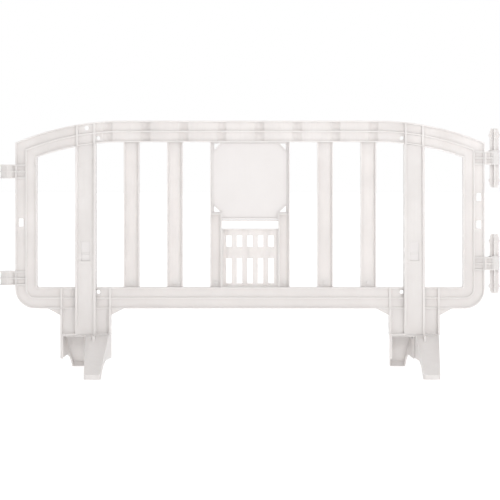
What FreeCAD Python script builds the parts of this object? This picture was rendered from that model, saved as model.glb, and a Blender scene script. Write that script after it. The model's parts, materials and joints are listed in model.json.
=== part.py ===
import FreeCAD, Part
import math
import os
import re
import Sketcher

# Ribbed plastic crowd barrier, 2 m long, on two swivelling feet.
# Millimetres, +Z up, X along the panel, the front of the panel faces -Y.
# The origin is on the ground, under the middle of the panel.

V = FreeCAD.Vector

DIMENSIONS = {
    # Panel outline.
    "half_width": 937,
    "rail_top": 1007,
    "rail_low": 256,
    "band": 86,
    "crown_start": 503,
    "crown_radius": 1120,
    "corner_radius": 80,
    "inner_corner": 6,
    # Panel section.
    "rib": 5.5,
    "web": 5,
    "web_back": 8,
    "web_front": 13,
    "half_depth": 20,
    "mid_rib": 40,
    # Grooves across the top rail's web.
    "wave_half": 608,
    "wave_at": 38,
    "wave_pitch": 151.7,
    "wave_groove": 40,
    "wave_depth": 8,
    "wave_crest": 2.5,
    # Posts.
    "post_at": 656,
    "post_width": 82,
    "post_flange": 9,
    "post_web": 6,
    "post_top_web": 13,
    "post_low_web": 30.5,
    "post_top_front": 24,
    "post_low_front": 38,
    "post_slope_end": 345,
    "fade_low": 190,
    "fade_top": 204,
    "cross_rib": 8,
    "cross_rib_gap": 61,
    # Housings at the bottom of the posts.
    "housing_width": 202,
    "housing_low": 152.2,
    "housing_plate": 4,
    "housing_face": 15,
    "housing_rib": 8,
    "housing_depth": 30,
    "floor_thick": 6,
    "floor_chamfer": 3.5,
    "gusset_low": 229,
    "gusset_out": 51,
    "seat_radius": 24,
    "seat_wall": 5,
    "lower_seat_top": 172,
    "upper_seat_low": 196,
    "upper_seat_top": 220,
    "nut_floor": 226,
    "nut_floor_top": 231,
    # Swivel.
    "spigot_radius": 20,
    "bush_radius": 20.05,
    "bush_flange_radius": 28,
    "flange_sink": 0.6,
    "bolt_radius": 6,
    "bolt_hole": 6.5,
    "bolt_head_radius": 9.5,
    "bolt_head": 7.5,
    "washer_radius": 12,
    "washer_thick": 2.5,
    "nut_radius": 10.9,
    "nut_height": 10,
    "stop_radius": 33,
    "stop_half": 4,
    "stop_slot": 4.5,
    "stop_rise": 6,
    # Feet.
    "foot_top": 151.8,
    "foot_half_depth": 300,
    "foot_half_width": 101,
    "foot_shelf": 60,
    "foot_tip": 18,
    "foot_tip_inset_in": 14,
    "foot_tip_inset_out": 22,
    "foot_wall": 6,
    "foot_lip": 12,
    "foot_tip_wall": 17,
    "foot_sole_start": 278,
    "foot_arch_mid": 110,
    "foot_arch_mid_height": 60,
    "foot_arch_top": 57,
    "hub_radius": 46,
    "hub_thick": 5,
    # Slats.
    "slat_inner_at": 300,
    "slat_outer_at": 473,
    "slat_width": 63,
    "slat_rib": 5,
    "slat_half_depth": 14,
    "slat_web": 4,
    "tongue_width": 30,
    "tongue_height": 34,
    "tongue_thick": 5,
    "rivet_rise": 17,
    # Centre bay.
    "stile_outer": 159,
    "stile_inner": 113,
    "stile_top": 637,
    "stile_half_depth": 16,
    "bay_rib": 5,
    "bay_web": 4,
    "hand_low": 576,
    "sign_half": 153.8,
    "sign_top": 920.8,
    "sign_low": 637.2,
    "sign_tab_low": 614,
    "sign_tab_half": 112.5,
    "sign_plate": 4,
    "sign_rib": 5,
    "sign_half_depth": 7,
    "sign_clip": 24,
    "grille_half": 112.4,
    "grille_rib": 4,
    "grille_web": 4,
    "grille_half_depth": 10,
    "grille_period": 84,
    "grille_groove": 34,
    "grille_depth": 6,
    "grille_crest": 2,
    "slot_width": 21,
    "slot_gap": 42,
    "slot_upper_low": 503,
    "slot_upper_top": 548,
    "slot_lower_low": 357,
    "slot_lower_top": 457,
    # Holes.
    "banner_hole_x": 606,
    "banner_hole_low": 322.7,
    "banner_hole_top": 937.6,
    "banner_hole_radius": 8,
    "lamp_hole_x": 652.6,
    "lamp_hole_z": 977.6,
    "lamp_hole_radius": 9,
    "strap_slot_width": 18,
    "strap_slot_height": 31,
    # Links.
    "eye_at": 969,
    "eye_radius": 31,
    "eye_bore": 21,
    "eye_height": 56,
    "eye_upper": 804,
    "eye_lower": 378,
    "link_plate": 5,
    "link_root": 897,
    "bracket_upper": 858,
    "bracket_lower": 436,
    "bracket_pitch": 24,
    "bracket_tip": 998,
    "pin_at": 977,
    "pin_width": 36,
    "pin_bump": 46,
    "pin_tip": 28,
    "pin_blade": 7,
    "pin_half_height": 118,
    "pin_bump_at": 90,
    "pin_bump_half": 10,
    "pin_bump_flat": 3,
    "pin_taper": 12,
    # Post fasteners and plates.
    "joint_bolt_radius": 4,
    "joint_bolt_hole": 4.3,
    "joint_bolt_head": 8,
    "joint_bolt_head_height": 5,
    "joint_boss": 9,
    "insert_radius": 6,
    "joint_high": 760,
    "joint_mid": 560,
    "joint_rail": 318,
    "plate_width": 36,
    "plate_height": 77,
    "plate_at": 486,
    "plate_thick": 1.5,
    # Fits and small features.
    "fit_gap": 0.2,
    "overlap": 1,
    "tongue_gap": 0.05,
    "thread_gap": 0.02,
    "head_clearance": 1,
    "wave_lap": 2,
    "trim_rise": 10,
    "post_overrun": 5,
    "spigot_room": 22,
    "proud": 2,
    "banner_boss": 5,
    "banner_rise": 1,
    "banner_boss_radius": 13,
    "rivet_hole": 4.1,
    "rivet_radius": 4,
    "rivet_head": 2.5,
    "rivet_head_radius": 8,
    "rivet_tail_radius": 6,
    "stile_middle": 136,
    "bar_low": 605,
    "bar_top": 612,
    "bar_half_depth": 9,
    "sign_open_half": 143,
    "sign_open_top": 916,
    "sign_open_low": 642.4,
    "strap_slot_at": 914,
    "strap_left": 600,
    "strap_right_high": 702,
    "strap_right_low": 592,
    "link_half_depth": 22,
    "eye_pitch": 25.5,
    "spine_thick": 7,
    "pin_hole_radius": 18.5,
    "pin_hole_wall": 2.3,
    "eye_wall": 7,
    "link_rib_sink": 0.5,
    "pin_collar": 4,
    "head_room": 16,
    "stop_angle": 53,
    "lug_angle": 45,
    "insert_start": 3,
    "rail_insert_start": 16,
    "insert_length": 8,
    "head_sink": 3,
    "plate_floor": 21.4,
    "plate_bar_half": 15,
    "plate_bar_drop": 7,
    "plate_bar_thick": 5,
    "plate_bar_rise": 1.5,
    "foot_root": 25,
    "foot_corner": 12,
    "fin_at": 37,
    "fin_end": 98,
    "foot_arch_radius": 250,
    "spigot_top": 222,
    "bolt_top": 247,
}

TONGUE_PLACES = ("slat_inner_at", "slat_outer_at", "stile_middle")
POST_JOINTS = ("joint_rail", "joint_mid", "joint_high")

document = FreeCAD.newDocument("barrier")
sheet = document.addObject("Spreadsheet::Sheet", "dims")
ALIAS = re.compile(r"\b[a-z]+(?:_[a-z]+)*\b")


def fill_sheet():
    """Write each driving dimension and its alias on a row of its own."""
    for row, (alias, number) in enumerate(DIMENSIONS.items(), start=1):
        sheet.set(f"A{row}", alias.replace("_", " "))
        sheet.set(f"B{row}", str(number))
        sheet.setAlias(f"B{row}", alias)
    document.recompute()


def formula(text):
    """Turn a formula of aliases into one that an object's property can be bound to."""
    def named(match):
        word = match.group(0)
        return f"dims.{word}" if word in DIMENSIONS else word
    return ALIAS.sub(named, str(text))


def size(text):
    """The number that a formula of aliases comes to."""
    return float(sheet.evalExpression(formula(text)))


def bind(thing, path, text):
    """Set a property from a formula, and keep it bound to the sheet."""
    thing.setExpression(path, formula(text))


# ---- sketches -------------------------------------------------------------------------------

def place_sketch(body, name, plane, start):
    """Attach a new sketch to one of the body's origin planes, at a distance along its normal."""
    sketch = body.newObject("Sketcher::SketchObject", name)
    origin_plane = [item for item in body.Origin.OriginFeatures if item.Role == plane][0]
    sketch.AttachmentSupport = (origin_plane, [""])
    sketch.MapMode = "FlatFace"
    bind(sketch, "AttachmentOffset.Base.z", start)
    return sketch


def arc_between(first, last, radius):
    """A minor arc between two points: a positive radius turns left, a negative one right."""
    chord = last - first
    middle = (first + last) / 2
    rise = math.sqrt(max(radius * radius - chord.Length * chord.Length / 4, 0))
    left = V(-chord.y, chord.x, 0) / chord.Length
    centre = middle + left * math.copysign(rise, radius)
    turning_left = radius > 0
    begin, end = (first, last) if turning_left else (last, first)
    from_angle = math.atan2(begin.y - centre.y, begin.x - centre.x)
    to_angle = math.atan2(end.y - centre.y, end.x - centre.x)
    if to_angle < from_angle:
        to_angle += 2 * math.pi
    circle = Part.Circle(centre, V(0, 0, 1), abs(radius))
    ends = (1, 2) if turning_left else (2, 1)
    return Part.ArcOfCircle(circle, from_angle, to_angle), ends


def pin_point(sketch, edge, end, across, up):
    """Fix one end of an edge at two formulas, measured from the sketch's origin."""
    if abs(size(across)) < 1e-9:
        sketch.addConstraint(Sketcher.Constraint("PointOnObject", edge, end, -2))
    else:
        kind = Sketcher.Constraint("DistanceX", -1, 1, edge, end, size(across))
        bind(sketch, f"Constraints[{sketch.addConstraint(kind)}]", across)
    if abs(size(up)) < 1e-9:
        sketch.addConstraint(Sketcher.Constraint("PointOnObject", edge, end, -1))
    else:
        kind = Sketcher.Constraint("DistanceY", -1, 1, edge, end, size(up))
        bind(sketch, f"Constraints[{sketch.addConstraint(kind)}]", up)


def outline(sketch, corners):
    """Draw one closed contour. A corner is (x, y), or (x, y, radius) where an arc leaves it."""
    points = [V(size(corner[0]), size(corner[1]), 0) for corner in corners]
    edges = []
    for index, corner in enumerate(corners):
        first = points[index]
        last = points[(index + 1) % len(corners)]
        if len(corner) == 3:
            arc, ends = arc_between(first, last, size(corner[2]))
            edge = sketch.addGeometry(arc, False)
            radius = Sketcher.Constraint("Radius", edge, abs(size(corner[2])))
            bind(sketch, f"Constraints[{sketch.addConstraint(radius)}]", f"abs({corner[2]})")
        else:
            edge = sketch.addGeometry(Part.LineSegment(first, last), False)
            ends = (1, 2)
        edges.append((edge, ends))
    for index, (edge, ends) in enumerate(edges):
        after, after_ends = edges[(index + 1) % len(edges)]
        sketch.addConstraint(
            Sketcher.Constraint("Coincident", edge, ends[1], after, after_ends[0])
        )
        pin_point(sketch, edge, ends[0], corners[index][0], corners[index][1])


def round_hole(sketch, across, up, radius):
    """Draw one full circle."""
    circle = Part.Circle(V(size(across), size(up), 0), V(0, 0, 1), size(radius))
    edge = sketch.addGeometry(circle, False)
    kind = Sketcher.Constraint("Radius", edge, size(radius))
    bind(sketch, f"Constraints[{sketch.addConstraint(kind)}]", radius)
    pin_point(sketch, edge, 3, across, up)


def rectangle(left, right, low, high):
    """Corners of an upright rectangle."""
    return [(left, low), (right, low), (right, high), (left, high)]


# ---- features -------------------------------------------------------------------------------

def new_body(label):
    """A body that may hold separate solids while it is built up."""
    body = document.addObject("PartDesign::Body", label)
    body.Label = label
    body.AllowCompound = True
    return body


def sketched(body, kind, name, plane, start, stop, contours, circles):
    """A pad or a pocket from start to stop along the plane's normal."""
    sketch = place_sketch(body, f"{name}_sketch", plane, start)
    for contour in contours:
        outline(sketch, contour)
    for circle in circles:
        round_hole(sketch, *circle)
    document.recompute()
    feature = body.newObject(kind, name)
    feature.Profile = sketch
    bind(feature, "Length", f"({stop}) - ({start})")
    return feature


def pad(body, name, plane, start, stop, contours=(), circles=()):
    """Add material between two planes."""
    feature = sketched(body, "PartDesign::Pad", name, plane, start, stop, contours, circles)
    document.recompute()
    return feature


def pocket(body, name, plane, start, stop, contours=(), circles=()):
    """Remove material between two planes, and check that some really went."""
    before = body.Shape.Volume
    feature = sketched(body, "PartDesign::Pocket", name, plane, start, stop, contours, circles)
    feature.Reversed = True
    document.recompute()
    if body.Shape.Volume > before - 0.01:
        raise RuntimeError(f"{body.Label}: {name} removes nothing")
    return feature


def group(label, pieces):
    """Collect identical pieces into one sub-part."""
    compound = document.addObject("Part::Compound", label)
    compound.Label = label
    compound.Links = pieces
    document.recompute()
    return compound


# ---- panel ----------------------------------------------------------------------------------

def panel_contour(inset):
    """The panel's outline, moved inwards by an inset, from the left end of the bottom rail."""
    side = f"(half_width - ({inset}))"
    low = f"(rail_low + {inset})"
    corner = f"max(corner_radius - ({inset}); inner_corner)"
    crown = f"(crown_radius - ({inset}))"
    crown_centre = "(rail_top - crown_radius)"
    shoulder = f"({crown_centre} + sqrt({crown}^2 - ({side} - crown_start)^2))"
    return [
        (f"-({side} - {corner})", low),
        (f"{side} - {corner}", low, corner),
        (side, f"{low} + {corner}"),
        (side, shoulder, crown),
        ("crown_start", f"rail_top - ({inset})"),
        ("-crown_start", f"rail_top - ({inset})", crown),
        (f"-{side}", shoulder),
        (f"-{side}", f"{low} + {corner}", corner),
    ]


def panel_ring(body, name, outer, inner, half_depth):
    """A band of the panel's outline between two insets, centred on the mid-plane."""
    return pad(
        body, name, "XZ_Plane", f"-({half_depth})", half_depth,
        [panel_contour(outer), panel_contour(inner)],
    )


def bowed_sheet(places, rises, centre_line, thick):
    """A sheet seen end on: a row of arcs, each rising by its own height above a centre line."""
    corners = []
    for way in (1, -1):
        level = f"({centre_line}) + {way} * ({thick}) / 2"
        ends = places if way > 0 else places[::-1]
        heights = rises if way > 0 else rises[::-1]
        for start, stop, rise in zip(ends, ends[1:], heights):
            if size(rise) == 0:
                corners.append((start, level))
            else:
                radius = f"((({stop}) - ({start}))^2 / 4 + ({rise})^2) / (2 * ({rise}))"
                corners.append((start, level, f"{-way} * ({radius})"))
        corners.append((ends[-1], level))
    return corners


def grooves(first, last, centres, width, depth, crest):
    """Places and rises of a bowed sheet with a groove at each centre and crests between."""
    places = [first]
    rises = ["0"]
    for centre in centres:
        places += [f"{centre} - ({width}) / 2", f"{centre} + ({width}) / 2"]
        rises += [depth, f"-({crest})"]
    return places + [last], rises


def crown_height(across, inset):
    """Height of the crowned top edge, moved inwards, beside its flat middle."""
    return (f"(rail_top - crown_radius"
            f" + sqrt((crown_radius - ({inset}))^2 - (abs({across}) - crown_start)^2))")


def post_point(side, offset):
    """A place across the panel, measured from a post's centre line."""
    return f"({side} * post_at + {offset})"


def crossing_rib(left, right):
    """A short vertical rib over the crowned part of the top rail."""
    return [(left, crown_height(left, "band")), (right, crown_height(right, "band")),
            (right, crown_height(right, "0")), (left, crown_height(left, "0"))]


def tongue_contours():
    """Tongues behind both ends of each slat and behind the feet of the centre stiles."""
    contours = []
    for place in TONGUE_PLACES:
        for side in (-1, 1):
            left = f"{side} * ({place}) - tongue_width / 2"
            right = f"{side} * ({place}) + tongue_width / 2"
            contours.append(rectangle(left, right, "rail_low + band - overlap",
                                      "rail_low + band + tongue_height"))
            if place != "stile_middle":
                contours.append(rectangle(left, right, "rail_top - band - tongue_height",
                                          "rail_top - band + overlap"))
    return contours


def rivet_places():
    """Where a rivet goes through the foot of each slat and stile."""
    return [(f"{side} * ({place})", "rail_low + band + rivet_rise", "rivet_hole")
            for place in TONGUE_PLACES for side in (-1, 1)]


def link_notches(side, heights, spacing):
    """Notches that let the plates of the links into the outer channel of a stile."""
    outer = f"{side} * (half_width + overlap)"
    root = f"{side} * link_root"
    left, right = (root, outer) if side > 0 else (outer, root)
    contours = []
    for height in heights:
        for step in (-1, 0, 1):
            middle = f"{height} + {step} * {spacing}"
            contours.append(rectangle(left, right, f"{middle} - link_plate / 2 - fit_gap",
                                      f"{middle} + link_plate / 2 + fit_gap"))
    return contours


def perimeter_frame():
    """The outer band: a web near the front between three ribs, grooved along the top."""
    body = new_body("perimeter_frame")
    pad(body, "band_web", "XZ_Plane", "web_back", "web_front",
        [panel_contour("rib / 2"), panel_contour("band - rib / 2")])
    pocket(
        body, "wave_window", "XZ_Plane", "web_back - overlap", "web_front + overlap",
        [rectangle("-(wave_half - wave_lap)", "wave_half - wave_lap",
                   "rail_top - band + rib / 2", "rail_top - rib / 2")],
    )
    centres = [f"(wave_at + {count} * wave_pitch)" for count in range(-4, 4)]
    places, rises = grooves("-wave_half", "wave_half", centres, "wave_groove", "wave_depth",
                            "wave_crest")
    pad(body, "grooved_web", "XY_Plane", "rail_top - band + overlap", "rail_top - overlap",
        [bowed_sheet(places, rises, "-(web_front + web_back) / 2", "web")])
    trim_end = "(wave_half + overlap)"
    trims = []
    for side in (-1, 1):
        flat = (f"{side} * crown_start", "rail_top - overlap")
        end = (f"{side} * {trim_end}", crown_height(trim_end, "overlap"))
        above = [(f"{side} * {trim_end}", "rail_top + trim_rise"),
                 (f"{side} * crown_start", "rail_top + trim_rise")]
        trims.append([(*flat, f"{-side} * (crown_radius - overlap)"), end, *above])
    pocket(body, "trimmed_web", "XZ_Plane", "-half_depth", "half_depth", trims)
    panel_ring(body, "outer_rib", "0", "rib", "half_depth")
    panel_ring(body, "middle_rib", "mid_rib", "mid_rib + rib", "half_depth")
    panel_ring(body, "inner_rib", "band - rib", "band", "half_depth")
    upper_ribs = []
    lower_ribs = []
    for side in (-1, 1):
        for step in (-1, 1):
            left = post_point(side, f"{step} * cross_rib_gap / 2 + ({step} - 1) / 2 * cross_rib")
            right = f"({left} + cross_rib)"
            upper_ribs.append(crossing_rib(left, right))
            middle = post_point(side, f"{step} * (housing_width - housing_rib) / 2")
            lower_ribs.append(rectangle(f"{middle} - housing_rib / 2",
                                        f"{middle} + housing_rib / 2",
                                        "rail_low", "rail_low + band"))
    pad(body, "upper_cross_ribs", "XZ_Plane", "-(half_depth + proud)", "half_depth + proud",
        upper_ribs)
    pad(body, "lower_cross_ribs", "XZ_Plane", "-(half_depth + proud)", "half_depth + proud",
        lower_ribs)
    banner = [(f"{side} * banner_hole_x", up)
              for side in (-1, 1) for up in ("banner_hole_low", "banner_hole_top")]
    pad(body, "banner_bosses", "XZ_Plane", "-banner_boss", "web_front + banner_rise",
        circles=[(across, up, "banner_boss_radius") for across, up in banner])
    pad(body, "tongues", "XZ_Plane", "-(slat_web / 2 + tongue_thick)",
        "-(slat_web / 2 + tongue_gap)", tongue_contours())
    holes = [(across, up, "banner_hole_radius") for across, up in banner]
    holes.append(("-lamp_hole_x", "lamp_hole_z", "lamp_hole_radius"))
    holes += rivet_places()
    holes += [(f"{side} * post_at", "joint_rail", "joint_bolt_hole") for side in (-1, 1)]
    pocket(body, "holes", "XZ_Plane", "-half_depth", "half_depth", circles=holes)
    slots = [("-1", "strap_left"), ("1", "strap_right_high"), ("1", "strap_right_low")]
    pocket(
        body, "strap_slots", "XZ_Plane", "web_back - overlap", "web_front + overlap",
        [rectangle(f"{side} * strap_slot_at - strap_slot_width / 2",
                   f"{side} * strap_slot_at + strap_slot_width / 2",
                   f"{up} - strap_slot_height / 2", f"{up} + strap_slot_height / 2")
         for side, up in slots],
    )
    pocket(body, "eye_notches", "XZ_Plane", "-(link_half_depth + fit_gap)",
           "link_half_depth + fit_gap", link_notches(-1, ("eye_upper", "eye_lower"), "eye_pitch"))
    pocket(body, "bracket_notches", "XZ_Plane", "-(link_half_depth + fit_gap)",
           "link_half_depth + fit_gap",
           link_notches(1, ("bracket_upper", "bracket_lower"), "bracket_pitch"))
    return body


# ---- slats and centre bay -------------------------------------------------------------------

def slat(label, across):
    """A flat slat between the rails, with a rib along each edge."""
    body = new_body(label)
    low = "rail_low + band + fit_gap"
    high = "rail_top - band - fit_gap"
    left = f"{across} - slat_width / 2"
    right = f"{across} + slat_width / 2"
    pad(body, "slat_web", "XZ_Plane", "-slat_web / 2", "slat_web / 2",
        [rectangle(left, right, low, high)])
    pad(body, "edge_ribs", "XZ_Plane", "-slat_half_depth", "slat_half_depth",
        [rectangle(left, f"{left} + slat_rib", low, high),
         rectangle(f"{right} - slat_rib", right, low, high)])
    pocket(body, "rivet_hole", "XZ_Plane", "-slat_web", "slat_web",
           circles=[(across, "rail_low + band + rivet_rise", "rivet_hole")])
    return body


def rivet(label, across):
    """A round-headed rivet through a slat's web and the tongue behind it."""
    body = new_body(label)
    up = "rail_low + band + rivet_rise"
    front = "slat_web / 2"
    back = "slat_web / 2 + tongue_thick"
    pad(body, "shank", "XZ_Plane", f"-({back})", front, circles=[(across, up, "rivet_radius")])
    pad(body, "head", "XZ_Plane", front, f"{front} + rivet_head",
        circles=[(across, up, "rivet_head_radius")])
    pad(body, "tail", "XZ_Plane", f"-({back} + rivet_head)", f"-({back})",
        circles=[(across, up, "rivet_tail_radius")])
    return body


def centre_frame():
    """Two channel stiles beside the grille, whose outer ribs run on up beside the sign."""
    body = new_body("centre_frame")
    low = "rail_low + band + fit_gap"
    high = "rail_top - band - fit_gap"
    webs = []
    ribs = []
    cross_bar = rectangle("-(stile_inner + overlap)", "stile_inner + overlap", "bar_low",
                          "bar_top")
    for side in (-1, 1):
        outer = f"{side} * stile_outer"
        outer_in = f"{side} * (stile_outer - bay_rib)"
        inner = f"{side} * stile_inner"
        inner_out = f"{side} * (stile_inner + bay_rib)"
        webs.append(rectangle(inner, outer, low, "stile_top"))
        ribs.append(rectangle(outer_in, outer, low, high))
        ribs.append(rectangle(inner, inner_out, low, "stile_top"))
    pad(body, "stile_webs", "XZ_Plane", "-bay_web / 2", "bay_web / 2", webs)
    pad(body, "stile_ribs", "XZ_Plane", "-stile_half_depth", "stile_half_depth", ribs)
    caps = [rectangle(f"{side} * stile_inner", f"{side} * stile_outer",
                      "stile_top - bay_rib", "stile_top") for side in (-1, 1)]
    pad(body, "stile_caps", "XZ_Plane", "-stile_half_depth", "stile_half_depth", caps)
    pad(body, "cross_bar", "XZ_Plane", "-bar_half_depth", "bar_half_depth", [cross_bar])
    pocket(body, "rivet_holes", "XZ_Plane", "-bay_web", "bay_web",
           circles=[(f"{side} * stile_middle", "rail_low + band + rivet_rise", "rivet_hole")
                    for side in (-1, 1)])
    return body


def sign_panel():
    """The blank sign plate, with clipped corners and a tab down to the hand hold."""
    body = new_body("sign_panel")
    tab_half = "sign_tab_half"
    edge = [(f"-{tab_half}", "sign_tab_low"), (tab_half, "sign_tab_low"),
            (tab_half, "sign_low"), ("sign_half", "sign_low"), ("sign_half", "sign_top"),
            ("-sign_half", "sign_top"), ("-sign_half", "sign_low"), (f"-{tab_half}", "sign_low")]
    inside = [("-(sign_tab_half - sign_rib)", "sign_tab_low + sign_rib"),
              ("sign_tab_half - sign_rib", "sign_tab_low + sign_rib"),
              ("sign_tab_half - sign_rib", "sign_low + sign_rib"),
              ("sign_half - sign_rib", "sign_low + sign_rib"),
              ("sign_half - sign_rib", "sign_top - sign_rib"),
              ("-(sign_half - sign_rib)", "sign_top - sign_rib"),
              ("-(sign_half - sign_rib)", "sign_low + sign_rib"),
              ("-(sign_tab_half - sign_rib)", "sign_low + sign_rib")]
    pad(body, "plate", "XZ_Plane", "-sign_plate / 2", "sign_plate / 2", [edge])
    pad(body, "edge_rib", "XZ_Plane", "-sign_half_depth", "sign_half_depth", [edge, inside])
    corners = []
    chamfers = []
    for side in (-1, 1):
        for top in (0, 1):
            across = f"{side} * sign_open_half"
            towards = f"{side} * (sign_open_half - sign_clip)"
            lean = f"{side} * (sign_open_half - sign_clip - sign_rib * sqrt(2))"
            up = "sign_open_top" if top else "sign_open_low"
            sign = "-" if top else "+"
            corners.append([(across, up), (towards, up), (across, f"{up} {sign} sign_clip")])
            chamfers.append([(towards, up), (across, f"{up} {sign} sign_clip"),
                             (across, f"{up} {sign} (sign_clip + sign_rib * sqrt(2))"),
                             (lean, up)])
    pad(body, "chamfer_ribs", "XZ_Plane", "-sign_half_depth", "sign_half_depth", chamfers)
    pocket(body, "clipped_corners", "XZ_Plane", "-sign_plate", "sign_plate", corners)
    return body


def slotted_grille():
    """The grooved grille below the hand hold, with two rows of slots."""
    body = new_body("slotted_grille")
    low = "rail_low + band + fit_gap"
    centres = [f"({count} - 1 / 4) * grille_period" for count in (-1, 0, 1)]
    places, rises = grooves("-1.5 * grille_period", "1.5 * grille_period", centres,
                            "grille_groove", "grille_depth", "grille_crest")
    pad(body, "grooved_sheet", "XY_Plane", low, "hand_low - grille_rib / 2",
        [bowed_sheet(places, rises, "0", "grille_web")])
    pocket(body, "trimmed_sides", "XZ_Plane", "-half_depth", "half_depth",
           [rectangle(left, right, "rail_low", "rail_top") for left, right in
            (("-2 * grille_period", "-(grille_half - grille_rib / 2)"),
             ("grille_half - grille_rib / 2", "2 * grille_period"))])
    side_ribs = [rectangle("-grille_half", "-(grille_half - grille_rib)", low, "hand_low"),
                 rectangle("grille_half - grille_rib", "grille_half", low, "hand_low")]
    end_ribs = [rectangle("-grille_half", "grille_half", "hand_low - grille_rib", "hand_low"),
                rectangle("-grille_half", "grille_half", low, f"{low} + grille_rib")]
    pad(body, "side_ribs", "XZ_Plane", "-grille_half_depth", "grille_half_depth", side_ribs)
    pad(body, "end_ribs", "XZ_Plane", "-grille_half_depth", "grille_half_depth", end_ribs)
    slots = []
    for column in (-2, -1, 0, 1, 2):
        left = f"{column} * slot_gap - slot_width / 2"
        right = f"{column} * slot_gap + slot_width / 2"
        slots.append(rectangle(left, right, "slot_upper_low", "slot_upper_top"))
        slots.append(rectangle(left, right, "slot_lower_low", "slot_lower_top"))
    pocket(body, "slots", "XZ_Plane", "-half_depth", "half_depth", slots)
    return body


# ---- posts ----------------------------------------------------------------------------------

def post_face(up):
    """Depth of the outer face of a post's web at a height."""
    return (f"min(post_low_web; post_top_web + (post_low_web - post_top_web)"
            f" * (rail_top - band - ({up})) / (rail_top - band - post_slope_end))")


def half_pad(body, name, face, near, far, contours=(), circles=()):
    """A pad on one side of the mid-plane, between two depths."""
    if face > 0:
        return pad(body, name, "XZ_Plane", near, far, contours, circles)
    return pad(body, name, "XZ_Plane", f"-({far})", f"-({near})", contours, circles)


def half_pocket(body, name, face, near, far, contours=(), circles=()):
    """A pocket on one side of the mid-plane, between two depths."""
    if face > 0:
        return pocket(body, name, "XZ_Plane", near, far, contours, circles)
    return pocket(body, name, "XZ_Plane", f"-({far})", f"-({near})", contours, circles)


def half_disc(side, face, radius):
    """Half a disc about a post's axis, on one side of the mid-plane."""
    left = (post_point(side, f"(0 - ({radius}))"), "0")
    right = (post_point(side, f"({radius})"), "0")
    turn = 1 if face > 0 else -1
    lowest = (post_point(side, "0"), f"{-face} * ({radius})")
    return [(*left, f"{turn} * ({radius})"), (*lowest, f"{turn} * ({radius})"), right]


def stop_slot(side, face):
    """One half of the curved slot that the foot's stop lug travels in."""
    near = "(stop_radius - stop_slot)"
    far = "(stop_radius + stop_slot)"
    turn = -1 if face > 0 else 1
    end_x = "cos(stop_angle)"
    end_y = f"{-face} * sin(stop_angle)"
    return [
        (post_point(side, near), "0"),
        (post_point(side, far), "0", f"{turn} * {far}"),
        (post_point(side, f"{far} * {end_x}"), f"{far} * {end_y}"),
        (post_point(side, f"{near} * {end_x}"), f"{near} * {end_y}", f"{-turn} * {near}"),
    ]


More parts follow.
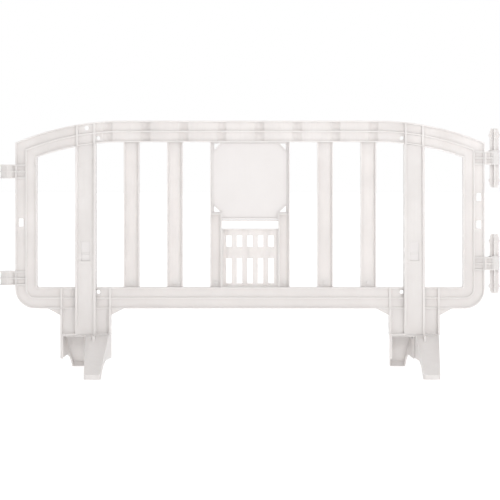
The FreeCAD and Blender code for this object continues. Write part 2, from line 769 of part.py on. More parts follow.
def post_half(label, side, face):
    """One half of a post and of the housing below it; face is 1 in front and -1 behind."""
    body = new_body(label)
    high = "(rail_top - band + post_overrun)"
    half = "(post_width / 2)"
    depth = f"{-face} * "
    upper_end = [(f"{depth}post_low_front", "post_slope_end"),
                 (f"{depth}post_top_front", high), ("0", high)]
    full_foot = [("0", "housing_low"), (f"{depth}post_low_front", "housing_low")]
    faded_foot = [("0", "housing_low"), (f"{depth}post_low_web", "housing_low"),
                  (f"{depth}post_low_web", "fade_low"), (f"{depth}post_low_front", "fade_top")]
    for step, lower_end in ((-1, faded_foot if face > 0 else full_foot), (1, full_foot)):
        start = post_point(side, f"{step} * ({half} - post_flange / 2) - post_flange / 2")
        pad(body, "left_flange" if step < 0 else "right_flange", "YZ_Plane", start,
            f"{start} + post_flange", [lower_end + upper_end])
    web = [(f"{depth}(post_low_web - post_web)", "housing_low"),
           (f"{depth}post_low_web", "housing_low"), (f"{depth}post_low_web", "post_slope_end"),
           (f"{depth}post_top_web", high), (f"{depth}(post_top_web - post_web)", high),
           (f"{depth}(post_low_web - post_web)", "post_slope_end")]
    pad(body, "post_web", "YZ_Plane", post_point(side, f"(overlap - {half})"),
        post_point(side, f"({half} - overlap)"), [web])
    out = "housing_width / 2"
    under = "(rail_low - fit_gap)"
    plate = [(post_point(side, f"(0 - {out})"), "housing_low"),
             (post_point(side, out), "housing_low"),
             (post_point(side, out), "gusset_low"),
             (post_point(side, f"({out} + gusset_out)"), under),
             (post_point(side, f"(0 - {out} - gusset_out)"), under),
             (post_point(side, f"(0 - {out})"), "gusset_low")]
    half_pad(body, "housing_plate", face, "housing_face - housing_plate", "housing_face", [plate])
    ribs = [rectangle(post_point(side, f"(0 - {out})"),
                      post_point(side, f"(housing_rib - {out})"), "housing_low", under),
            rectangle(post_point(side, f"({out} - housing_rib)"), post_point(side, out),
                      "housing_low", under)]
    half_pad(body, "housing_ribs", face, "0", "housing_depth", ribs)
    floor = [("0", "housing_low"), (f"{depth}housing_depth", "housing_low"),
             (f"{depth}housing_depth", "housing_low + floor_thick - floor_chamfer"),
             (f"{depth}(housing_depth - floor_chamfer)", "housing_low + floor_thick"),
             ("0", "housing_low + floor_thick")]
    pad(body, "housing_floor", "YZ_Plane", post_point(side, f"(0 - {out})"),
        post_point(side, out), [floor])
    pad(body, "bush_seat", "XY_Plane", "housing_low", under,
        [half_disc(side, face, "(seat_radius + seat_wall)")])
    pocket(body, "spigot_bore", "XY_Plane", "housing_low - overlap", "nut_floor",
           [half_disc(side, face, "spigot_room")])
    pocket(body, "lower_seat", "XY_Plane", "housing_low - overlap", "lower_seat_top",
           [half_disc(side, face, "seat_radius")])
    pocket(body, "flange_seat", "XY_Plane", "housing_low - overlap",
           "housing_low + flange_sink", [half_disc(side, face, "(bush_flange_radius + fit_gap)")])
    pocket(body, "upper_seat", "XY_Plane", "upper_seat_low", "upper_seat_top",
           [half_disc(side, face, "seat_radius")])
    pocket(body, "bolt_passage", "XY_Plane", "nut_floor - overlap", "rail_low",
           [half_disc(side, face, "bolt_hole")])
    pocket(body, "nut_chamber", "XY_Plane", "nut_floor_top", "rail_low",
           [half_disc(side, face, "spigot_radius")])
    pocket(body, "stop_slot", "XY_Plane", "housing_low - overlap", "housing_low + stop_rise",
           [stop_slot(side, face)])
    half_pocket(
        body, "rail_notch", face, "-overlap", "half_depth + fit_gap",
        [rectangle(post_point(side, f"(0 - {half} - overlap)"),
                   post_point(side, f"({half} + overlap)"),
                   "rail_low - fit_gap", "rail_low + band + fit_gap")],
    )
    crown = "(band + fit_gap)"
    left = post_point(side, f"(0 - {half} - post_overrun)")
    right = post_point(side, f"({half} + post_overrun)")
    half_pocket(
        body, "crowned_end", face, "-overlap", "2 * post_low_front",
        [[(left, crown_height(left, crown), f"-(crown_radius - {crown})"),
          (right, crown_height(right, crown)), (right, "rail_top"), (left, "rail_top")]],
    )
    post_joints(body, side, face)
    centre = f"{side} * post_at"
    if face > 0:
        half_pocket(
            body, "plate_recess", face, "plate_floor", "post_low_front",
            [rectangle(f"{centre} - plate_width / 2 - fit_gap",
                       f"{centre} + plate_width / 2 + fit_gap",
                       "plate_at - plate_height / 2 - fit_gap",
                       "plate_at + plate_height / 2 + fit_gap")],
        )
    return body


def insert_start(up):
    """Depth at which a post's threaded insert begins: at the rail it lies in front of the web."""
    return "rail_insert_start" if up == "joint_rail" else "insert_start"


def boss_start(up, face):
    """Depth at which a post's boss begins: on the mid-plane, or against the rail's web."""
    if up != "joint_rail":
        return "0"
    return "web_front + fit_gap / 2" if face > 0 else "fit_gap / 2 - web_back"


def post_joints(body, side, face):
    """Bosses that the post's bolts and threaded inserts sit in."""
    centre = f"{side} * post_at"
    for up in POST_JOINTS:
        start = insert_start(up)
        half_pad(body, f"{up}_boss", face, boss_start(up, face),
                 f"{post_face(up)} - post_web / 2", circles=[(centre, up, "joint_boss")])
        if face > 0:
            half_pocket(body, f"{up}_hole", face, "-overlap", f"{start} + insert_length",
                        circles=[(centre, up, "joint_bolt_hole")])
            half_pocket(body, f"{up}_insert_hole", face, start, f"{start} + insert_length",
                        circles=[(centre, up, "insert_radius")])
        else:
            half_pocket(body, f"{up}_hole", face, "-web_back", "2 * post_low_front",
                        circles=[(centre, up, "joint_bolt_hole")])
            half_pocket(body, f"{up}_head_seat", face, f"{post_face(up)} - head_sink",
                        "2 * post_low_front",
                        circles=[(centre, up, "joint_bolt_head + head_clearance")])


def hexagon(across, up, radius):
    """A hexagon about a point, by the radius of its corners."""
    return [(f"{across} + {radius} * cos({60 * turn})", f"{up} + {radius} * sin({60 * turn})")
            for turn in range(6)]


def joint_bolt(label, side, up):
    """A hexagon bolt that goes in from the back of a post."""
    body = new_body(label)
    centre = f"{side} * post_at"
    seat = f"{post_face(up)} - head_sink"
    pad(body, "shank", "XZ_Plane", f"-({seat})",
        f"{insert_start(up)} + insert_length - fit_gap",
        circles=[(centre, up, "joint_bolt_radius")])
    pad(body, "head", "XZ_Plane", f"-({seat} + joint_bolt_head_height)", f"-({seat})",
        [hexagon(centre, up, "joint_bolt_head")])
    return body


def threaded_insert(label, side, up):
    """A brass insert in the front half of a post."""
    body = new_body(label)
    centre = f"{side} * post_at"
    pad(body, "sleeve", "XZ_Plane", insert_start(up), f"{insert_start(up)} + insert_length",
        circles=[(centre, up, "insert_radius"), (centre, up, "joint_bolt_radius + thread_gap")])
    return body


def id_plate(label, side):
    """A blank plate in the recess on the front of a post."""
    body = new_body(label)
    centre = f"{side} * post_at"
    pad(body, "plate", "XZ_Plane", "plate_floor", "plate_floor + plate_thick",
        [rectangle(f"{centre} - plate_width / 2", f"{centre} + plate_width / 2",
                   "plate_at - plate_height / 2", "plate_at + plate_height / 2")])
    pad(body, "bar", "XZ_Plane", "plate_floor", "plate_floor + plate_thick + plate_bar_rise",
        [rectangle(f"{centre} - plate_bar_half", f"{centre} + plate_bar_half",
                   "plate_at - plate_bar_drop - plate_bar_thick",
                   "plate_at - plate_bar_drop")])
    return body


# ---- links ----------------------------------------------------------------------------------

def link_eye(label, up):
    """A ringed barrel, three plates that reach into the left stile and a web between them."""
    body = new_body(label)
    pad(body, "barrel", "XY_Plane", f"{up} - eye_height / 2", f"{up} + eye_height / 2",
        circles=[("-eye_at", "0", "eye_bore + eye_wall")])
    for step, name in ((-1, "low"), (0, "middle"), (1, "high")):
        low = f"{up} + {step} * eye_pitch - link_plate / 2"
        high = f"{up} + {step} * eye_pitch + link_plate / 2"
        pad(body, f"{name}_ring", "XY_Plane", low, high, circles=[("-eye_at", "0", "eye_radius")])
        pad(body, f"{name}_plate", "XY_Plane", low, high,
            [rectangle("-eye_at", "-(link_root + fit_gap)", "-link_half_depth",
                       "link_half_depth")])
    pad(body, "web", "XY_Plane", f"{up} - eye_pitch", f"{up} + eye_pitch",
        [rectangle("-eye_at", "-(half_width + fit_gap)", "-web_front", "-web_back")])
    pad(body, "front_rib", "XY_Plane", f"{up} - eye_pitch", f"{up} + eye_pitch",
        [rectangle("-(eye_at + link_plate / 2)", "-(eye_at - link_plate / 2)",
                   "-(eye_radius - link_rib_sink)", "-eye_bore")])
    pocket(body, "bore", "XY_Plane", f"{up} - eye_height", f"{up} + eye_height",
           circles=[("-eye_at", "0", "eye_bore")])
    return body


def link_bracket(label, up):
    """Three rounded plates with a web and a barrel, which reach out to hold a pin."""
    body = new_body(label)
    plate = [("link_root + fit_gap", "-link_half_depth"),
             ("bracket_tip - link_half_depth", "-link_half_depth", "link_half_depth"),
             ("bracket_tip", "0", "link_half_depth"),
             ("bracket_tip - link_half_depth", "link_half_depth"),
             ("link_root + fit_gap", "link_half_depth")]
    for step, name in ((-1, "low_plate"), (0, "middle_plate"), (1, "high_plate")):
        middle = f"{up} + {step} * bracket_pitch"
        pad(body, name, "XY_Plane", f"{middle} - link_plate / 2", f"{middle} + link_plate / 2",
            [plate])
    pad(body, "spine", "XY_Plane", f"{up} - bracket_pitch", f"{up} + bracket_pitch",
        [rectangle("half_width + fit_gap", "half_width + spine_thick",
                   "-link_half_depth", "link_half_depth")])
    pad(body, "barrel", "XY_Plane", f"{up} - bracket_pitch", f"{up} + bracket_pitch",
        circles=[("pin_at", "0", "pin_hole_radius + pin_hole_wall")])
    pad(body, "web", "XY_Plane", f"{up} - bracket_pitch", f"{up} + bracket_pitch",
        [rectangle("half_width + spine_thick - overlap", "pin_at", "-web_front", "-web_back")])
    pad(body, "front_rib", "XY_Plane", f"{up} - bracket_pitch", f"{up} + bracket_pitch",
        [rectangle("pin_at - link_plate / 2", "pin_at + link_plate / 2",
                   "-(link_half_depth - link_rib_sink)", "-pin_hole_radius")])
    pocket(body, "pin_hole", "XY_Plane", f"{up} - 2 * bracket_pitch",
           f"{up} + 2 * bracket_pitch", circles=[("pin_at", "0", "pin_hole_radius")])
    return body


def blade(up, centre):
    """Outline of one blade of a link pin: tapered ends and a bump near each of them."""
    right = []
    for sign in (-1, 1):
        steps = [("pin_tip / 2", "pin_half_height"),
                 ("pin_width / 2", "pin_half_height - pin_taper"),
                 ("pin_width / 2", "pin_bump_at + pin_bump_half"),
                 ("pin_bump / 2", "pin_bump_at + pin_bump_flat"),
                 ("pin_bump / 2", "pin_bump_at - pin_bump_flat"),
                 ("pin_width / 2", "pin_bump_at - pin_bump_half")]
        ordered = steps if sign < 0 else steps[::-1]
        right += [(across, f"{sign} * ({along})") for across, along in ordered]
    left = [(f"-({across})", along) for across, along in right[::-1]]
    return [(f"{centre} + {across}", f"{up} + {along}") for across, along in right + left]


def link_pin(label, up):
    """A pin of two crossed blades, with a collar that rests on the bracket."""
    body = new_body(label)
    pad(body, "wide_blade", "XZ_Plane", "-pin_blade / 2", "pin_blade / 2",
        [blade(up, "pin_at")])
    pad(body, "deep_blade", "YZ_Plane", "pin_at - pin_blade / 2", "pin_at + pin_blade / 2",
        [blade(up, "0")])
    top = f"{up} + bracket_pitch + link_plate / 2"
    pad(body, "collar", "XY_Plane", top, f"{top} + pin_collar",
        circles=[("pin_at", "0", "pin_bump / 2")])
    return body


# ---- feet -----------------------------------------------------------------------------------

def prism(name, plane, start, stop, contours):
    """A free sketch pushed out along its normal."""
    sketch = document.addObject("Sketcher::SketchObject", f"{name}_sketch")
    if plane == "YZ":
        sketch.Placement = FreeCAD.Placement(V(), FreeCAD.Rotation(V(1, 1, 1), 120))
        bind(sketch, "Placement.Base.x", start)
        direction = V(1, 0, 0)
    else:
        bind(sketch, "Placement.Base.z", start)
        direction = V(0, 0, 1)
    for contour in contours:
        outline(sketch, contour)
    solid = document.addObject("Part::Extrusion", name)
    solid.Base = sketch
    solid.DirMode = "Custom"
    solid.Dir = direction
    solid.Solid = True
    bind(solid, "LengthFwd", f"({stop}) - ({start})")
    document.recompute()
    return solid


def combine(kind, name, shapes):
    """A boolean of several shapes: Part::MultiFuse or Part::MultiCommon."""
    result = document.addObject(kind, name)
    result.Shapes = shapes
    document.recompute()
    return result


def cut(name, base, tool):
    """A boolean cut."""
    result = document.addObject("Part::Cut", name)
    result.Base = base
    result.Tool = tool
    document.recompute()
    return result


def cylinder(name, radius, low, high, across="0", along="0"):
    """An upright cylinder between two heights."""
    solid = document.addObject("Part::Cylinder", name)
    bind(solid, "Radius", radius)
    bind(solid, "Height", f"({high}) - ({low})")
    bind(solid, "Placement.Base.x", across)
    bind(solid, "Placement.Base.y", along)
    bind(solid, "Placement.Base.z", low)
    document.recompute()
    return solid


def leg(name):
    """One hollow leg: a sloping top and two side walls, open below and at its root."""
    slope = "(foot_top - foot_tip) / (foot_half_depth - foot_shelf)"
    inner_drop = f"foot_wall * sqrt(1 + ({slope})^2)"
    side = [
        ("foot_root", "foot_arch_top"),
        ("foot_root", "foot_top"),
        ("-foot_shelf", "foot_top"),
        ("-foot_half_depth", "foot_tip"),
        ("-foot_half_depth", "0"),
        ("-foot_sole_start", "0", "-foot_arch_radius"),
        ("-foot_arch_mid", "foot_arch_mid_height"),
    ]
    plan = [
        ("0", "foot_root"),
        ("foot_tip_inset_in", "-(foot_half_depth - foot_corner)", "foot_corner"),
        ("foot_tip_inset_in + foot_corner", "-foot_half_depth"),
        ("foot_half_width - foot_tip_inset_out - foot_corner", "-foot_half_depth",
         "foot_corner"),
        ("foot_half_width - foot_tip_inset_out", "-(foot_half_depth - foot_corner)"),
        ("foot_half_width", "foot_root"),
    ]
    hollow_side = [
        ("foot_root + overlap", "foot_top - hub_thick"),
        (f"-(foot_shelf + (hub_thick - {inner_drop}) / ({slope}))", "foot_top - hub_thick"),
        ("-(foot_half_depth - foot_tip_wall)",
         f"foot_tip - {inner_drop} + foot_tip_wall * {slope}"),
        ("-(foot_half_depth - foot_tip_wall)", "-overlap"),
        ("foot_root + overlap", "-overlap"),
    ]
    hollow_plan = [
        ("foot_wall", "foot_root + overlap"),
        ("foot_tip_inset_in + foot_wall", "-(foot_half_depth - foot_wall)"),
        ("foot_half_width - foot_tip_inset_out - foot_wall", "-(foot_half_depth - foot_wall)"),
        ("foot_half_width - foot_wall", "foot_root - foot_wall"),
        ("foot_half_width - foot_lip", "foot_root - foot_wall"),
        ("foot_half_width - foot_lip", "foot_root + overlap"),
    ]
    outside = combine("Part::MultiCommon", f"{name}_outside", [
        prism(f"{name}_side", "YZ", "-overlap", "foot_half_width + overlap", [side]),
        prism(f"{name}_plan", "XY", "-overlap", "foot_top + overlap", [plan]),
    ])
    hollow = combine("Part::MultiCommon", f"{name}_hollow", [
        prism(f"{name}_hollow_side", "YZ", "-overlap", "foot_half_width + overlap",
              [hollow_side]),
        prism(f"{name}_hollow_plan", "XY", "-2 * overlap", "foot_top + overlap",
              [hollow_plan]),
    ])
    fin = [("-foot_shelf", "foot_top - overlap"),
           ("-foot_shelf + overlap", "foot_top"),
           ("-fin_end", "foot_top"),
           ("-fin_end", f"foot_top - (fin_end - foot_shelf) * {slope} - overlap")]
    shell = cut(f"{name}_shell", outside, hollow)
    return combine("Part::MultiFuse", name, [
        shell,
        prism(f"{name}_fin", "YZ", "fin_at - post_flange / 2", "fin_at + post_flange / 2", [fin]),
    ])


def foot(label, side):
    """A Z-shaped foot: two legs turned half a circle apart about a hollow spigot."""
    front = leg(f"{label}_front_leg")
    rear = document.addObject("Part::Compound", f"{label}_rear_leg")
    rear.Links = [front]
    rear.Placement = FreeCAD.Placement(V(), FreeCAD.Rotation(V(0, 0, 1), 180))
    hub = cylinder(f"{label}_hub", "hub_radius", "foot_top - hub_thick", "foot_top")
    spigot = cylinder(f"{label}_spigot", "spigot_radius", "foot_top - hub_thick", "spigot_top")
    lug = cylinder(f"{label}_lug", "stop_half", "foot_top - overlap", "foot_top + stop_rise",
                   "stop_radius * cos(lug_angle)", "0 - stop_radius * sin(lug_angle)")
    whole = combine("Part::MultiFuse", f"{label}_whole", [front, rear, hub, spigot, lug])
    bore = combine("Part::MultiFuse", f"{label}_bores", [
        cylinder(f"{label}_bore", "bolt_hole", "0", "spigot_top + overlap"),
        cylinder(f"{label}_head_room", "head_room", "0", "foot_top - hub_thick"),
    ])
    shape = cut(label, whole, bore)
    shape.Label = label
    bind(shape, "Placement.Base.x", f"{side} * post_at")
    return shape


def ring(label, side, levels):
    """Stacked rings about a foot's axis: each level is (low, high, outer, inner)."""
    body = new_body(label)
    for index, (low, high, outer, inner) in enumerate(levels):
        pad(body, f"ring_{index}", "XY_Plane", low, high,
            circles=[(f"{side} * post_at", "0", outer), (f"{side} * post_at", "0", inner)])
    return body


def pivot_bolt(label, side):
    """The bolt that holds a foot: its head is under the hub."""
    body = new_body(label)
    seat = "foot_top - hub_thick - washer_thick"
    pad(body, "head", "XY_Plane", f"{seat} - bolt_head", seat,
        [hexagon(f"{side} * post_at", "0", "bolt_head_radius")])
    pad(body, "shank", "XY_Plane", seat, "bolt_top",
        circles=[(f"{side} * post_at", "0", "bolt_radius")])
    return body


def pivot_nut(label, side):
    """The lock nut above the housing's inner floor."""
    body = new_body(label)
    seat = "nut_floor_top + washer_thick"
    pad(body, "nut", "XY_Plane", seat, f"{seat} + nut_height",
        [hexagon(f"{side} * post_at", "0", "nut_radius")])
    pocket(body, "thread", "XY_Plane", f"{seat} - overlap", f"{seat} + nut_height + overlap",
           circles=[(f"{side} * post_at", "0", "bolt_radius + thread_gap")])
    return body


def foot_assembly(name, side):
    """A foot with its bushes, bolt, nut and washers."""
    under_hub = "foot_top - hub_thick"
    washers = [
        ring(f"{name}_washer_{index}", side,
             [(low, f"{low} + washer_thick", "washer_radius", "bolt_hole")])
        for index, low in enumerate((f"{under_hub} - washer_thick", "nut_floor_top"))
    ]
    return [
        foot(f"{name}_foot", side),
        ring(f"{name}_lower_bush", side,
             [("housing_low + flange_sink", "lower_seat_top", "seat_radius", "bush_radius"),
              ("foot_top", "housing_low + flange_sink", "bush_flange_radius",
               "bush_radius")]),
        ring(f"{name}_upper_bush", side,
             [("upper_seat_low", "upper_seat_top", "seat_radius", "bush_radius")]),
        pivot_bolt(f"{name}_pivot_bolt", side),
        pivot_nut(f"{name}_pivot_nut", side),
        group(f"{name}_pivot_washers", washers),
    ]


def post_assembly(name, side):
    """A post with its fasteners and its plate."""
    bolts = [joint_bolt(f"{name}_{up}_bolt", side, up) for up in POST_JOINTS]
    inserts = [threaded_insert(f"{name}_{up}_insert", side, up) for up in POST_JOINTS]
    return [
        post_half(f"{name}_post_front", side, 1),
        post_half(f"{name}_post_rear", side, -1),
        group(f"{name}_post_bolts", bolts),
        group(f"{name}_post_inserts", inserts),
        id_plate(f"{name}_id_plate", side),
    ]


def build():
    """Every sub-part of the barrier."""
    parts = [perimeter_frame(), centre_frame(), sign_panel(), slotted_grille()]
    for name, across in (("slat_outer_left", "-slat_outer_at"),
                         ("slat_inner_left", "-slat_inner_at"),
                         ("slat_inner_right", "slat_inner_at"),
                         ("slat_outer_right", "slat_outer_at")):
        parts.append(slat(name, across))
    rivets = [rivet(f"rivet_{index}", place[0]) for index, place in enumerate(rivet_places())]
    parts.append(group("slat_rivets", rivets))
    for name, up in (("upper", "eye_upper"), ("lower", "eye_lower")):
        parts.append(link_eye(f"{name}_link_eye", up))
    for name, up in (("upper", "bracket_upper"), ("lower", "bracket_lower")):
        parts.append(link_bracket(f"{name}_link_bracket", up))
        parts.append(link_pin(f"{name}_link_pin", up))
    for name, side in (("left", -1), ("right", 1)):
        parts += post_assembly(name, side)
        parts += foot_assembly(name, side)
    return parts


def check_and_write(parts):
    """Refuse a failed object or a bad shape, then write one file for each sub-part."""
    document.recompute()
    for thing in document.Objects:
        if "Invalid" in thing.State or "Error" in thing.State:
            raise RuntimeError(f"{thing.Name} failed: {thing.State}")
    labels = [part.Label for part in parts]
    if len(set(labels)) != len(labels):
        raise RuntimeError("two sub-parts share a label")
    os.makedirs("parts", exist_ok=True)
    for part in parts:
        if part.Shape.isNull() or not part.Shape.isValid():
            raise RuntimeError(f"{part.Label} has a bad shape")
        part.Shape.exportStep(f"parts/{part.Label}.step")


fill_sheet()
check_and_write(build())
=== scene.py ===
"""A plastic crowd barrier: materials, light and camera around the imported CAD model, in metres."""

import json
import math

import bpy
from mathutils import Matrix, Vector


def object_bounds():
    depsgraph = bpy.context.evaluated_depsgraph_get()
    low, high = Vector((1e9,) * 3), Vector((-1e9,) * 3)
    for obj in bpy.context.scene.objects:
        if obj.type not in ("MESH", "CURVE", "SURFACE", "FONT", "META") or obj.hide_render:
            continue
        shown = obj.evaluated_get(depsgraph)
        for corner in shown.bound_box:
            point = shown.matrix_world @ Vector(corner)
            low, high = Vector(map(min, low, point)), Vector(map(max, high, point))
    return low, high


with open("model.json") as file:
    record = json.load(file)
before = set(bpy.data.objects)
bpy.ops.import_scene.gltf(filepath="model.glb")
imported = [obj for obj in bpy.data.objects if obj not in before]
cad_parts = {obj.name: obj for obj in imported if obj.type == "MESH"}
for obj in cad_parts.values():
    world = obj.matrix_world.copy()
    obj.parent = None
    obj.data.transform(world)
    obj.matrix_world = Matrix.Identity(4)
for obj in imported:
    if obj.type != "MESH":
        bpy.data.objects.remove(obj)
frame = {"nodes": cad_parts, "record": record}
cad_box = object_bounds()
nodes = frame["nodes"]

MM = 0.001

# Marks of the plastic and of its painted shade: how far each one reaches, and how many features it
# has in a metre.
EDGE_RADIUS = 1.8 * MM
# How far the painted shade reaches into recesses and into corners.
RECESS_REACH = 30 * MM
CORNER_REACH = 4 * MM
LIGHT_DEPTH = 3.5 * MM
RELIEF_DEPTH = 0.6 * MM
SPLASH_HEIGHT = 0.15
# Painted shade darkens the plastic towards the bottom, from the first height down to the second.
LOW_SHADE_FROM = 0.8
LOW_SHADE_TO = 0.3
PER_METRE = {"clouds": 6.0, "streaks": 75.0, "mottle": 38.0, "splash": 26.0,
             "scuffs": 340.0, "scuff_patches": 5.0, "coarse_grain": 240.0, "fine_grain": 1500.0}
UPRIGHT_SCUFFS = (0.0, 0.25, 0.0)
LEVEL_SCUFFS = (0.0, 1.45, 0.3)

# Shading turns sharp at edges above this angle, in degrees.
SHARP_ANGLE = 32.0

# The studio. A light has its place, its size and its power in watts.
LIGHTS = {
    "key": ((2.8, -4.6, 3.0), (1.4, 1.4), 52),
    "front": ((0.3, -7.0, 0.5), (2.4, 0.8), 57),
    "rear": ((-2.8, 4.6, 2.6), (1.4, 1.4), 40),
}
LIGHT_TARGET = (0.0, 0.0, 0.5)
HORIZON_LIGHT = 0.38
ZENITH_LIGHT = 0.82
FLOOR_WIDTH = 160.0
FLOOR_GAP = 0.4 * MM
FLOOR_GLOW = 0.34
FLOOR_SEEN = 0.50


# ---- node helpers ---------------------------------------------------------------------------

class Graph:
    """Builds a node tree by short calls: add() makes a node and sets its inputs."""

    def __init__(self, tree):
        self.tree = tree

    def add(self, kind, props=None, **inputs):
        node = self.tree.nodes.new(kind)
        for name, value in (props or {}).items():
            setattr(node, name, value)
        for name, value in inputs.items():
            self.set(node, name.replace("_", " "), value)
        return node

    def set(self, node, name, value):
        socket = node.inputs[int(name)] if name.isdigit() else node.inputs[name]
        if isinstance(value, bpy.types.NodeSocket):
            self.tree.links.new(value, socket)
        else:
            socket.default_value = value


def new_material(name):
    material = bpy.data.materials.new(name)
    material.use_nodes = True
    material.node_tree.nodes.clear()
    return material, Graph(material.node_tree)


def noise(graph, place, scale, detail=3.0, rough=0.5):
    """Noise at a scale in features per metre."""
    node = graph.add("ShaderNodeTexNoise", Vector=place, Scale=scale, Detail=detail,
                     Roughness=rough)
    return node.outputs["Fac"]


def ramp(graph, value, low, high, to_low=0.0, to_high=1.0):
    """A value remapped and clamped."""
    node = graph.add("ShaderNodeMapRange", {"clamp": True})
    graph.set(node, "Value", value)
    graph.set(node, "From Min", low)
    graph.set(node, "From Max", high)
    graph.set(node, "To Min", to_low)
    graph.set(node, "To Max", to_high)
    return node.outputs["Result"]


def maths(graph, operation, first, second=0.0):
    node = graph.add("ShaderNodeMath", {"operation": operation})
    graph.set(node, "0", first)
    graph.set(node, "1", second)
    return node.outputs[0]


def mix_colour(graph, share, first, second):
    node = graph.add("ShaderNodeMix", {"data_type": "RGBA"})
    graph.set(node, "0", share)
    graph.set(node, "6", first)
    graph.set(node, "7", second)
    return node.outputs[2]


# ---- materials ------------------------------------------------------------------------------

def rounded_normal(graph, radius):
    """The surface's direction as if its edges were rounded to a radius."""
    return graph.add("ShaderNodeBevel", {"samples": 4}, Radius=radius).outputs[0]


def openness(graph, reach):
    """How open the surface is within a reach: 1 on a flat, near 0 in a deep corner."""
    return graph.add("ShaderNodeAmbientOcclusion", {"samples": 4}, Distance=reach).outputs["AO"]


def edge_share(graph, rounded):
    """How far a rounded direction leans from the plain one: 0 on a flat, 1 at a corner."""
    plain = graph.add("ShaderNodeNewGeometry").outputs["Normal"]
    across = graph.add("ShaderNodeVectorMath", {"operation": "DOT_PRODUCT"})
    graph.set(across, "0", rounded)
    graph.set(across, "1", plain)
    return ramp(graph, across.outputs["Value"], 0.995, 0.85)


def scratches(graph, place, turn, share):
    """Fine, short, straight scuffs that all lie in one direction."""
    turned = graph.add("ShaderNodeMapping", Vector=place, Rotation=turn, Scale=(1.0, 1.0, 0.045))
    lines = noise(graph, turned.outputs[0], PER_METRE["scuffs"], 1.0)
    patches = noise(graph, place, PER_METRE["scuff_patches"], 2.0)
    marks = ramp(graph, lines, 0.70, 0.76)
    return maths(graph, "MULTIPLY", marks, ramp(graph, patches, 0.5, 0.68, 0.0, share))


def shade_of(base, factor, warmth=0.0):
    """A base colour made darker or lighter, and warmer as it darkens."""
    parts = (base[0] * factor, base[1] * (factor - warmth), base[2] * (factor - 1.5 * warmth))
    return tuple(min(part, 0.98) for part in parts) + (1.0,)


def plastic_colour(graph, place, mottle, base, uneven):
    """Clouds, flow streaks and mottle, with painted shade in recesses, in corners and towards the
    bottom, and dirt splashed near the ground.
    """
    darker = shade_of(base, 1 - 0.07 * uneven, 0.005)
    lighter = shade_of(base, 1 + 0.035 * uneven)
    shaded = shade_of(base, 0.82, 0.005)
    # This colour serves both the painted shade in the corners and the dirt splashed near the ground.
    dust_and_shade = shade_of(base, 0.74, 0.025)
    clouds = noise(graph, place, PER_METRE["clouds"], 4.0, 0.55)
    colour = mix_colour(graph, ramp(graph, clouds, 0.3, 0.7), darker, lighter)
    stretched = graph.add("ShaderNodeMapping", Vector=place, Scale=(1.0, 1.0, 0.06))
    streaks = noise(graph, stretched.outputs[0], PER_METRE["streaks"], 3.0, 0.6)
    colour = mix_colour(graph, ramp(graph, streaks, 0.48, 0.75, 0.0, 0.45), colour, darker)
    colour = mix_colour(graph, ramp(graph, mottle, 0.56, 0.8, 0.0, 0.5), colour, darker)
    # Painted shade: darker in recesses, where less light reaches.
    recess_shade = ramp(graph, openness(graph, RECESS_REACH), 0.84, 0.45, 0.0, 0.42)
    colour = mix_colour(graph, recess_shade, colour, shaded)
    # Painted shade: thin dark lines in the corners, in patches.
    corner = ramp(graph, openness(graph, CORNER_REACH), 0.7, 0.3)
    corner_shade_share = maths(graph, "MULTIPLY", corner, ramp(graph, mottle, 0.25, 0.7, 0.05, 0.25))
    colour = mix_colour(graph, corner_shade_share, colour, dust_and_shade)
    height = graph.add("ShaderNodeSeparateXYZ", Vector=place).outputs["Z"]
    # Painted shade: darker towards the bottom, as the light falls from above.
    low_shade = ramp(graph, height, LOW_SHADE_FROM, LOW_SHADE_TO, 0.0, 0.6)
    colour = mix_colour(graph, low_shade, colour, darker)
    drops = noise(graph, place, PER_METRE["splash"], 6.0, 0.7)
    splash = maths(graph, "MULTIPLY", ramp(graph, height, SPLASH_HEIGHT, 0.0),
                   ramp(graph, drops, 0.48, 0.78, 0.0, 0.4))
    return mix_colour(graph, splash, colour, dust_and_shade)


def plastic_relief(graph, place, scuffs):
    """The height of a fine and a coarse grain, rubbed down where there are scuffs."""
    fine = noise(graph, place, PER_METRE["fine_grain"], 2.0)
    coarse = noise(graph, place, PER_METRE["coarse_grain"], 3.0)
    grain = maths(graph, "ADD", maths(graph, "MULTIPLY", fine, 0.5),
                  maths(graph, "MULTIPLY", coarse, 0.8))
    return maths(graph, "SUBTRACT", grain, maths(graph, "MULTIPLY", scuffs, 0.6))


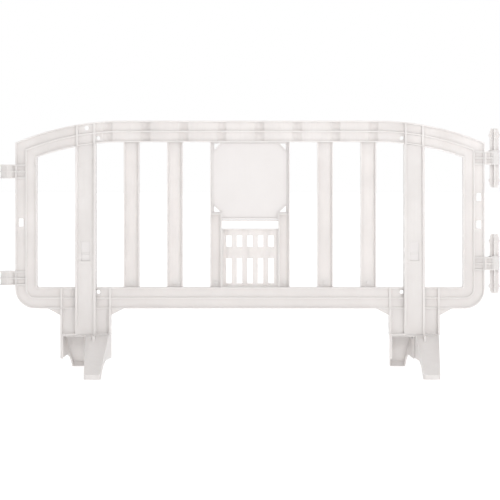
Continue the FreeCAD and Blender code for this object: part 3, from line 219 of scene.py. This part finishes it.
def moulded_plastic(name, base, roughness, grain, uneven, clear):
    """White polyethylene with painted highlights on its edges and light scuffs.

    uneven scales the clouds and streaks, and clear is how much light enters the plastic.
    """
    material, graph = new_material(name)
    place = graph.add("ShaderNodeTexCoord").outputs["Object"]
    mottle = noise(graph, place, PER_METRE["mottle"], 3.0)
    rounded = rounded_normal(graph, EDGE_RADIUS)
    scuffs = maths(graph, "MAXIMUM", scratches(graph, place, UPRIGHT_SCUFFS, 0.5),
                   scratches(graph, place, LEVEL_SCUFFS, 0.6))
    # Painted highlight: the rounded edges are made lighter, in patches, as if they caught the light.
    edge_highlight = maths(graph, "MULTIPLY", edge_share(graph, rounded),
                 ramp(graph, mottle, 0.35, 0.6, 0.5, 1.0))
    colour = plastic_colour(graph, place, mottle, base, uneven)
    colour = mix_colour(graph, edge_highlight, colour, shade_of(base, 1.09))
    colour = mix_colour(graph, scuffs, colour, shade_of(base, 1 + 0.035 * uneven))
    rough = ramp(graph, mottle, 0.3, 0.7, roughness - 0.05, roughness + 0.07)
    rough = maths(graph, "ADD", rough, maths(graph, "MULTIPLY", scuffs, 0.2))
    bump = graph.add("ShaderNodeBump", Strength=grain, Distance=RELIEF_DEPTH, Normal=rounded,
                     Height=plastic_relief(graph, place, scuffs))
    shader = graph.add("ShaderNodeBsdfPrincipled", Roughness=rough, IOR=1.5)
    graph.set(shader, "Base Color", colour)
    graph.set(shader, "Normal", bump.outputs[0])
    graph.set(shader, "Subsurface Weight", clear)
    graph.set(shader, "Subsurface Radius", (1.0, 1.0, 1.0))
    graph.set(shader, "Subsurface Scale", LIGHT_DEPTH)
    output = graph.add("ShaderNodeOutputMaterial")
    graph.set(output, "Surface", shader.outputs[0])
    return material


def turned_metal(name, base, roughness):
    """Plated steel or brass, with cloudy plating and fine level turning lines."""
    material, graph = new_material(name)
    place = graph.add("ShaderNodeTexCoord").outputs["Object"]
    cloud = noise(graph, place, 120.0, 4.0)
    lines = noise(graph, graph.add("ShaderNodeMapping", Vector=place,
                                   Scale=(1.0, 1.0, 18.0)).outputs[0], 300.0, 2.0)
    dark = (base[0] * 0.8, base[1] * 0.8, base[2] * 0.8, 1.0)
    colour = mix_colour(graph, ramp(graph, cloud, 0.3, 0.7), dark, (*base, 1.0))
    rough = ramp(graph, cloud, 0.3, 0.7, roughness - 0.08, roughness + 0.1)
    bump = graph.add("ShaderNodeBump", Strength=0.25, Distance=0.0003, Height=lines)
    shader = graph.add("ShaderNodeBsdfPrincipled", Roughness=rough, Metallic=1.0)
    graph.set(shader, "Base Color", colour)
    graph.set(shader, "Normal", bump.outputs[0])
    output = graph.add("ShaderNodeOutputMaterial")
    graph.set(output, "Surface", shader.outputs[0])
    return material


MATERIALS = {
    "white_hdpe": moulded_plastic("white_hdpe", (0.835, 0.809, 0.796), roughness=0.46,
                                  grain=0.22, uneven=1.0, clear=1.0),
    "plate_hdpe": moulded_plastic("plate_hdpe", (0.81, 0.782, 0.772), roughness=0.42,
                                  grain=0.14, uneven=0.3, clear=0.15),
    "acetal": moulded_plastic("acetal", (0.80, 0.80, 0.78), roughness=0.35,
                              grain=0.08, uneven=0.3, clear=0.15),
    "zinc_steel": turned_metal("zinc_steel", (0.62, 0.63, 0.65), roughness=0.34),
    "brass": turned_metal("brass", (0.70, 0.55, 0.28), roughness=0.3),
}


# ---- smooth shading on every part -----------------------------------------------------------

def smooth_nodes():
    """Geometry nodes that shade smooth, with sharp edges above an angle."""
    tree = bpy.data.node_groups.new("smooth_by_angle", "GeometryNodeTree")
    tree.interface.new_socket("Geometry", in_out="INPUT", socket_type="NodeSocketGeometry")
    tree.interface.new_socket("Geometry", in_out="OUTPUT", socket_type="NodeSocketGeometry")
    graph = Graph(tree)
    begin = graph.add("NodeGroupInput").outputs[0]
    plain = graph.add("GeometryNodeRemoveAttribute", Geometry=begin, Name="custom_normal")
    faces = graph.add("GeometryNodeSetShadeSmooth", {"domain": "FACE"})
    graph.set(faces, "Geometry", plain.outputs[0])
    graph.set(faces, "Shade Smooth", True)
    angle = graph.add("GeometryNodeInputMeshEdgeAngle").outputs["Unsigned Angle"]
    sharp = graph.add("FunctionNodeCompare", {"operation": "GREATER_THAN"})
    graph.set(sharp, "A", angle)
    graph.set(sharp, "B", math.radians(SHARP_ANGLE))
    edges = graph.add("GeometryNodeSetShadeSmooth", {"domain": "EDGE"})
    graph.set(edges, "Geometry", faces.outputs[0])
    graph.set(edges, "Selection", sharp.outputs[0])
    graph.set(edges, "Shade Smooth", False)
    graph.add("NodeGroupOutput", Geometry=edges.outputs[0])
    return tree


SMOOTH = smooth_nodes()


def shade_smoothly(piece):
    """Join the shell's faces and shade them smooth, with the sharp edges kept."""
    weld = piece.modifiers.new("weld", "WELD")
    weld.merge_threshold = 0.01 * MM
    shade = piece.modifiers.new("shading", "NODES")
    shade.node_group = SMOOTH


for entry in frame["record"]["subparts"]:
    piece = nodes[entry["node"]]
    piece.data.materials.clear()
    piece.data.materials.append(MATERIALS[entry["material_slot"]])
    for polygon in piece.data.polygons:
        polygon.material_index = 0
    shade_smoothly(piece)


# ---- floor, light and camera ----------------------------------------------------------------

PANEL_WIDTH = cad_box[1][0] - cad_box[0][0]
CAMERA_DISTANCE = 4.15 * PANEL_WIDTH
CAMERA_HEIGHT = 0.79
VIEW_CENTRE = 0.49
SENSOR = 36.0


def stage_floor():
    """A plain pale floor that glows a little, as a photographer's light table does."""
    half = FLOOR_WIDTH / 2
    mesh = bpy.data.meshes.new("studio_floor")
    corners = [(-half, -half), (half, -half), (half, half), (-half, half)]
    mesh.from_pydata([(x, y, -FLOOR_GAP) for x, y in corners], [], [(0, 1, 2, 3)])
    floor = bpy.data.objects.new("studio_floor", mesh)
    bpy.context.scene.collection.objects.link(floor)
    material, graph = new_material("studio_floor")
    seen = graph.add("ShaderNodeLightPath").outputs["Is Camera Ray"]
    shader = graph.add("ShaderNodeBsdfPrincipled", Roughness=0.9)
    graph.set(shader, "Base Color", (0.90, 0.90, 0.90, 1.0))
    graph.set(shader, "Emission Color", (1.0, 1.0, 1.0, 1.0))
    graph.set(shader, "Emission Strength", ramp(graph, seen, 0.0, 1.0, FLOOR_GLOW, FLOOR_SEEN))
    output = graph.add("ShaderNodeOutputMaterial")
    graph.set(output, "Surface", shader.outputs[0])
    mesh.materials.append(material)


def area_light(name, place, size, power):
    data = bpy.data.lights.new(name, "AREA")
    data.shape = "RECTANGLE"
    data.size = size[0]
    data.size_y = size[1]
    data.energy = power
    light = bpy.data.objects.new(name, data)
    light.location = place
    light.rotation_euler = (Vector(LIGHT_TARGET) - Vector(place)).to_track_quat("-Z", "Y").to_euler()
    bpy.context.scene.collection.objects.link(light)


def studio():
    """Pale surroundings, brighter overhead, and the large soft lights."""
    world = bpy.data.worlds.new("studio")
    world.use_nodes = True
    bpy.context.scene.world = world
    graph = Graph(world.node_tree)
    background = world.node_tree.nodes["Background"]
    direction = graph.add("ShaderNodeTexCoord").outputs["Generated"]
    upward = graph.add("ShaderNodeSeparateXYZ", Vector=direction).outputs["Z"]
    dome = ramp(graph, upward, -0.1, 0.9, HORIZON_LIGHT, ZENITH_LIGHT)
    seen = graph.add("ShaderNodeLightPath").outputs["Is Camera Ray"]
    graph.set(background, "Color", (1.0, 1.0, 1.0, 1.0))
    graph.set(background, "Strength", maths(graph, "MAXIMUM", dome, seen))
    bpy.context.scene.view_settings.view_transform = "Standard"
    for name, (place, size, power) in LIGHTS.items():
        area_light(name, place, size, power)


def camera():
    data = bpy.data.cameras.new("camera")
    data.sensor_width = SENSOR
    data.lens = SENSOR * CAMERA_DISTANCE / PANEL_WIDTH
    data.shift_y = (VIEW_CENTRE - CAMERA_HEIGHT) / PANEL_WIDTH
    view = bpy.data.objects.new("camera", data)
    view.location = (0.0, -CAMERA_DISTANCE, CAMERA_HEIGHT)
    view.rotation_euler = (math.radians(90), 0.0, 0.0)
    bpy.context.scene.collection.objects.link(view)
    bpy.context.scene.camera = view


stage_floor()
studio()
camera()
